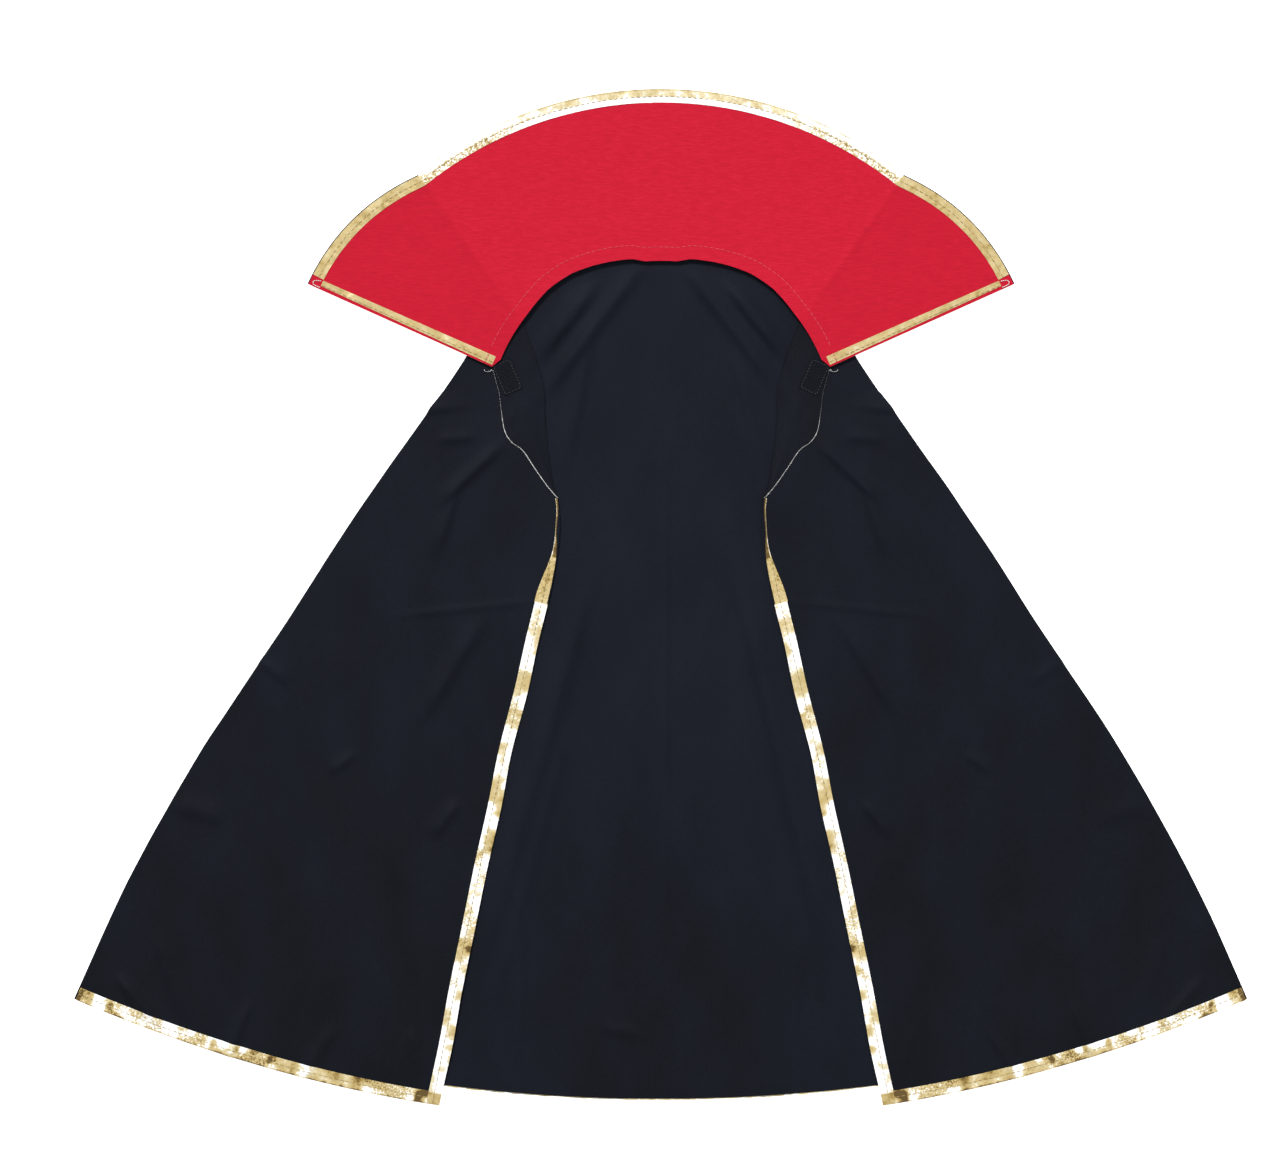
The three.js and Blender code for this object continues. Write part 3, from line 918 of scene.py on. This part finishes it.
def build_front_ribbons(side, word):
    """The ribbon up a front's free edge and the one along its hem, with their stitches."""
    up = front_edge[::-1]
    long = lengths(up)[-1]
    height = lambda p: front_height(p, side)
    below_top = lambda s: (1 - s) * long
    on_edge = 1.6

    def width(s):
        """The ribbon lies on its edge at the top, where the cloth turns over, and is flat from the join."""
        return on_edge + (RIBBON - on_edge) * smoothstep(26, 84, below_top(s))

    def painted_glint(s, u):
        """Below the join: gold stretches, kinks at the outer edge, islands, a crinkled end at the hem.
        Near the top, where the ribbon is turned over, a pale inner strip painted as a highlight and the
        rest painted dark brown as its shade.
        """
        down = below_top(s)
        from_hem = s * long
        gold = sum(np.exp(-(((from_hem - middle) / half) ** 4)) for middle, half in GOLD_STRETCHES)
        kinked = sum(np.exp(-(((from_hem - middle) / 3) ** 2)) for middle in KINKS)
        lower = 0.62 - 0.35 * gold - 0.9 * kinked * np.exp(-((u / 0.4) ** 2)) - 0.8 * (from_hem < 9)
        lower += 0.1 * u + 0.5 * islands(s, u, long, 10, 64)
        # where it is turned over: the inner strip painted pale as a highlight, the rest dark brown as
        # painted shade of the turned side
        upper = np.where(down < FRONT_TWIST, np.where(u > 0.75, 0.45, -0.5), 0.0)
        return np.where(down > FRONT_JOIN, lower, upper)

    def painted_specks(s, u):
        """Painted speckles of highlight and dark reflection: plain above the join, and stretches of them
        below it.
        """
        stretches = 0.5 * smoothstep(0.1, 0.5, patches_along(s, long, 17, 66))
        return np.where(below_top(s) < FRONT_JOIN, 0.25, stretches)

    def near(s):
        """The outer edge swings in a little where the ribbon rolls over, and steps out at the join."""
        down = below_top(s)
        wander = 1.3 * patches_along(s, long, 48, 66)
        return wander + 2.4 * np.exp(-(((down - 26) / 16) ** 2)) - 0.8 * (down > FRONT_JOIN)

    edge = ribbon(f"{word}_edge_ribbon", up, near, lambda s: width(s) + 0.7 * near(s), height, painted_glint,
                  side=side, painted_specks=painted_specks, on=[f"{word}_front_cloth"])
    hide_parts(f"{word}_edge_tape")
    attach(edge, f"{word}_front")

    # the hem's ribbon stops where the edge's crosses it
    length = lengths(front_hem)[-1]
    cut = along(front_hem, np.linspace(0, 1 - (RIBBON - 0.5) / length, 60))

    def patchy(s, u):
        """Islands painted white as highlight and brown specks painted as dark reflection, crinkled and
        painted darker at the side fold and along the outer edge.
        """
        brown = smoothstep(0.4, 0.75, islands(s, u, length, 7, 76))
        smooth = 0.43 + 0.2 * patches_along(s, length, 30, 70) + 0.7 * islands(s, u, length, 9, 72)
        return smooth - 0.8 * brown - 0.6 * (s * length < 4) - 0.6 * (u < 0.1)

    specks = lambda s, u: 0.1 + 0.6 * smoothstep(0.1, 0.6, patches_along(s, length, 15, 74))
    hem = ribbon(f"{word}_hem_ribbon", cut, 0, RIBBON, height, patchy, side=side, painted_specks=specks,
                 on=[f"{word}_front_cloth"])
    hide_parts(f"{word}_hem_tape")
    swing_with_front(hem)

    over = lambda p: height(p) + THREAD_LIFT
    flat_part = up[lengths(up) < long - 50]
    row = stitches(f"{word}_edge_thread", offset(flat_part, RIBBON * 0.5), over, gold_thread, side)
    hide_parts(f"{word}_edge_stitch")
    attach(row, f"{word}_front")
    row = stitches(f"{word}_hem_thread", offset(cut, RIBBON * 0.5), over, gold_thread, side)
    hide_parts(f"{word}_hem_stitch")
    swing_with_front(row)


def build_lapel_ribbon(side, word):
    """The front edge's ribbon, turned under: only its white selvedge shows."""
    under = lambda p: lapel_height(p, side) - CLOTH - 0.05
    peek = lambda s: -0.1 - 0.4 * smoothstep(0.2, 0.5, s)
    wide = lambda s: 0.3 + (RIBBON - 1.5) * (1 - smoothstep(0.45, 0.8, s))
    piece = ribbon(f"{word}_lapel_ribbon", lapel_edge[1:], peek, wide, under, 1.0, ribbon_back, side,
                   lift=0.0, on=[f"{word}_front_cloth"])
    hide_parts(f"{word}_lapel_tape")
    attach(piece, "back")


def build_back_hem_ribbon():
    """Sewn on the cloth's other face, below the inner face of the back: only its frayed edge shows."""
    frayed = lambda s: -SELVEDGE - 0.35 * patches_along(s, 940, 6, 81)
    level = lambda p: np.full(p.shape[:-1], 0.65)
    piece = ribbon("back_hem_ribbon", back_hem, frayed, RIBBON - SELVEDGE, level, 0.35, lift=0.0,
                   on=["back_cloth"])
    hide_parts("back_hem_tape")
    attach(piece, "back")


both(build_front_ribbons)
both(build_lapel_ribbon)
build_back_hem_ribbon()

face = at(COLLAR_FACE_Z)


def collar_painted_glint(s, u):
    """Smooth and painted white as a highlight along the inner half, but by the creases along the outer
    half; u is 0 at the outer edge.
    """
    from_end = np.minimum(s, 1 - s)
    by_crease = 1 - smoothstep(0.12, 0.3, from_end + 0.03 * patches_along(s, 420, 12, 91))
    middle = np.where(u < 0.52, 0.38, 0.95)
    end = np.where(u < 0.5, 0.95, 0.3)
    return middle * (1 - by_crease) + end * by_crease - 0.6 * (u < 0.06)


def collar_painted_specks(s, u):
    """Speckled with painted highlight and dark reflection along the inner half near the creases."""
    by_crease = 1 - smoothstep(0.15, 0.28, np.minimum(s, 1 - s))
    return 0.05 + 1.1 * by_crease * (u > 0.45)


collar_ribbon = ribbon("collar_edge_ribbon", collar_edge, 0.3, -RIBBON, face, collar_painted_glint,
                       painted_specks=collar_painted_specks, on=["collar_face_cloth"])
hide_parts("collar_edge_tape")
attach(collar_ribbon, "collar")


def build_wing_ribbons(side, word):
    """The ribbons along a wing's outer edge and its end. Both stop short of the tip, where red shows."""
    start = wing_tip + unit(wing_edge[6] - wing_tip) * OUTER_RIBBON_START + (0.4, 0.8)
    edge = np.vstack([start, wing_edge[8:], collar_edge[1:2]])
    outer = ribbon(f"{word}_wing_ribbon", edge, -WING_TURN, -RIBBON - 0.2, face, 0.06, side=side,
                   on=[f"{word}_wing_face_cloth"])
    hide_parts(f"{word}_wing_tape")
    end_along = unit(neck_end - wing_tip)
    inward = left_normal(end_along)[0]
    end_line = np.array([wing_tip + end_along * END_RIBBON_START, neck_end - end_along * 0.5])
    near, wide = lambda s: 2.8 - 1.4 * s, lambda s: END_RIBBON + 0.4 + 1.2 * s
    end = ribbon(f"{word}_end_ribbon", end_line, near, wide, face, 0.08, side=side, lift=0.3,
                 on=[f"{word}_wing_face_cloth"])
    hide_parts(f"{word}_end_tape")
    over = lambda p: face(p) + THREAD_LIFT
    # a bar tack across the end ribbon by the neck, and the end of the white thread looped at the tip
    across = neck_end - end_along * 6.5
    bar = np.array([across + inward, across + inward * END_RIBBON * 1.2])
    from_tip = ((END_RIBBON_START, 1.4), (5, 1.6), (4.5, 4.6), (10, 6.5))
    loop = through([wing_tip + end_along * x + inward * y for x, y in from_tip])
    rows = [
        stitches(f"{word}_wing_thread", offset(edge, -RIBBON * 0.62), over, gold_thread, side),
        stitches(f"{word}_end_thread", offset(resample(end_line, 20), END_RIBBON * 0.5), over, gold_thread,
                 side),
        stitches(f"{word}_bar_thread", bar, over, red_thread, side, pitch=2.4, radius=0.32),
        stitches(f"{word}_tip_thread", loop, over, white_thread, side, pitch=1.6, radius=0.35),
    ]
    for piece in (outer, end, *rows):
        turn_with_wing(piece)


both(build_wing_ribbons)

row = stitches("collar_ribbon_thread", offset(collar_edge[2:-2], -RIBBON * 0.55),
               lambda p: face(p) + THREAD_LIFT, gold_thread)
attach(row, "collar")
row = stitches("collar_topstitch_thread", eased_neckline(11, -seam_span, seam_span),
               lambda p: face(p) + 0.05, red_thread, radius=0.22)
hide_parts("collar_topstitch")
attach(row, "collar")


# ---- Loose thread ends ----
def build_loose_end(side, word):
    """The sewing thread's cut end, in a small loop below the neck end."""
    turn = np.radians(np.linspace(150, 400, 14))
    loop = neck_end + np.array((-3.4, -2.6)) + np.stack([3.0 * np.cos(turn), 1.3 * np.sin(turn)], 1)
    tail = loop[-1] + np.outer(np.linspace(0.2, 1, 4), (2.2, -1.6))
    row = stitches(f"{word}_loose_thread", np.vstack([loop, tail]), lambda p: lapel_height(p, side) + 0.5,
                   white_thread, side, pitch=1.1, radius=0.18)
    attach(row, "back")


both(build_loose_end)


# ---- Patches ----
def build_patch(side, word):
    """The hook patch on the left turned corner, or the loop patch on the right one."""
    centre = neck_end + np.array(PATCH_FROM_NECK_END)
    angle = np.radians(PATCH_TILT)
    turn = np.array([[np.cos(angle), -np.sin(angle)], [np.sin(angle), np.cos(angle)]])
    u, v = np.meshgrid(np.linspace(-1, 1, 40), np.linspace(-1, 1, 60))
    local = np.stack([u * PATCH_SIZE[0] / 2, v * PATCH_SIZE[1] / 2], -1)
    flat = local @ turn.T + centre
    # woven selvedge all round, pile inside it
    rim = 1 - np.minimum(1 - np.abs(u), (1 - np.abs(v)) * PATCH_SIZE[1] / PATCH_SIZE[0])
    stubs = 0.06 * np.sin(u * 40) * np.sin(v * 66) * (rim < 0.85)
    pile = PILE * (1 - smoothstep(0.82, 0.95, rim)) + stubs
    z = lapel_height(flat, side) + PATCH_THICKNESS + pile
    kind, finish = (("hook", hook_tape), ("loop", loop_tape))[side > 0]
    piece = grid_object(f"{word}_{kind}_tape", with_height(flat, z), finish, PATCH_THICKNESS, side)
    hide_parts(f"{word}_{kind}_patch")
    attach(piece, "back")
    declare(piece, PATCH_SIZE[0] + 0.5, PATCH_SIZE[1] + 0.5, f"{word}_lapel_cloth")
    box = np.array([[-1, -1], [1, -1], [1, 1], [-1, 1], [-1, -1]]) * (np.array(PATCH_SIZE) / 2 - 1.4)
    row = stitches(f"{word}_patch_thread", box @ turn.T + centre, lambda p: lapel_height(p, side) + 0.4,
                   black_thread, side, pitch=2.6, radius=0.25)
    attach(row, "back")


both(build_patch)


# ---- Floor and light ----
def studio(half=25, brightness=0.95):
    """A white floor of half-width metres, a white sky and two suns."""
    floor = bpy.data.meshes.new("floor")
    corners = [(-half, -half, 0), (half, -half, 0), (half, half, 0), (-half, half, 0)]
    floor.from_pydata(corners, [], [(0, 1, 2, 3)])
    pale, _, shader = new_material("pale_floor", Roughness=0.9)
    shader.inputs["Base Color"].default_value = (brightness, brightness, brightness, 1)
    shader.inputs["Emission Color"].default_value = (1, 1, 1, 1)
    shader.inputs["Emission Strength"].default_value = 0.8
    floor.materials.append(pale)
    plane = bpy.data.objects.new("floor", floor)
    plane.location.z = -0.0005
    bpy.context.collection.objects.link(plane)
    world = bpy.data.worlds.new("studio")
    bpy.context.scene.world = world
    world.use_nodes = True
    background = world.node_tree.nodes["Background"]
    background.inputs["Color"].default_value = (1, 1, 1, 1)
    background.inputs["Strength"].default_value = 0.45
    # the key is a broad lamp beyond the collar, the fill a very soft one from the lower right
    suns = (("key", (-0.4, 1.0, 1.15), 14, 3.4), ("fill", (1.2, -0.5, 1.6), 60, 0.7))
    for name, towards, angle, strength in suns:
        light = bpy.data.lights.new(name, "SUN")
        light.angle = np.radians(angle)
        light.energy = strength
        lamp = bpy.data.objects.new(name, light)
        lamp.rotation_euler = Vector(towards).to_track_quat("Z", "Y").to_euler()
        bpy.context.collection.objects.link(lamp)
    bpy.context.scene.view_settings.view_transform = "Standard"


studio()
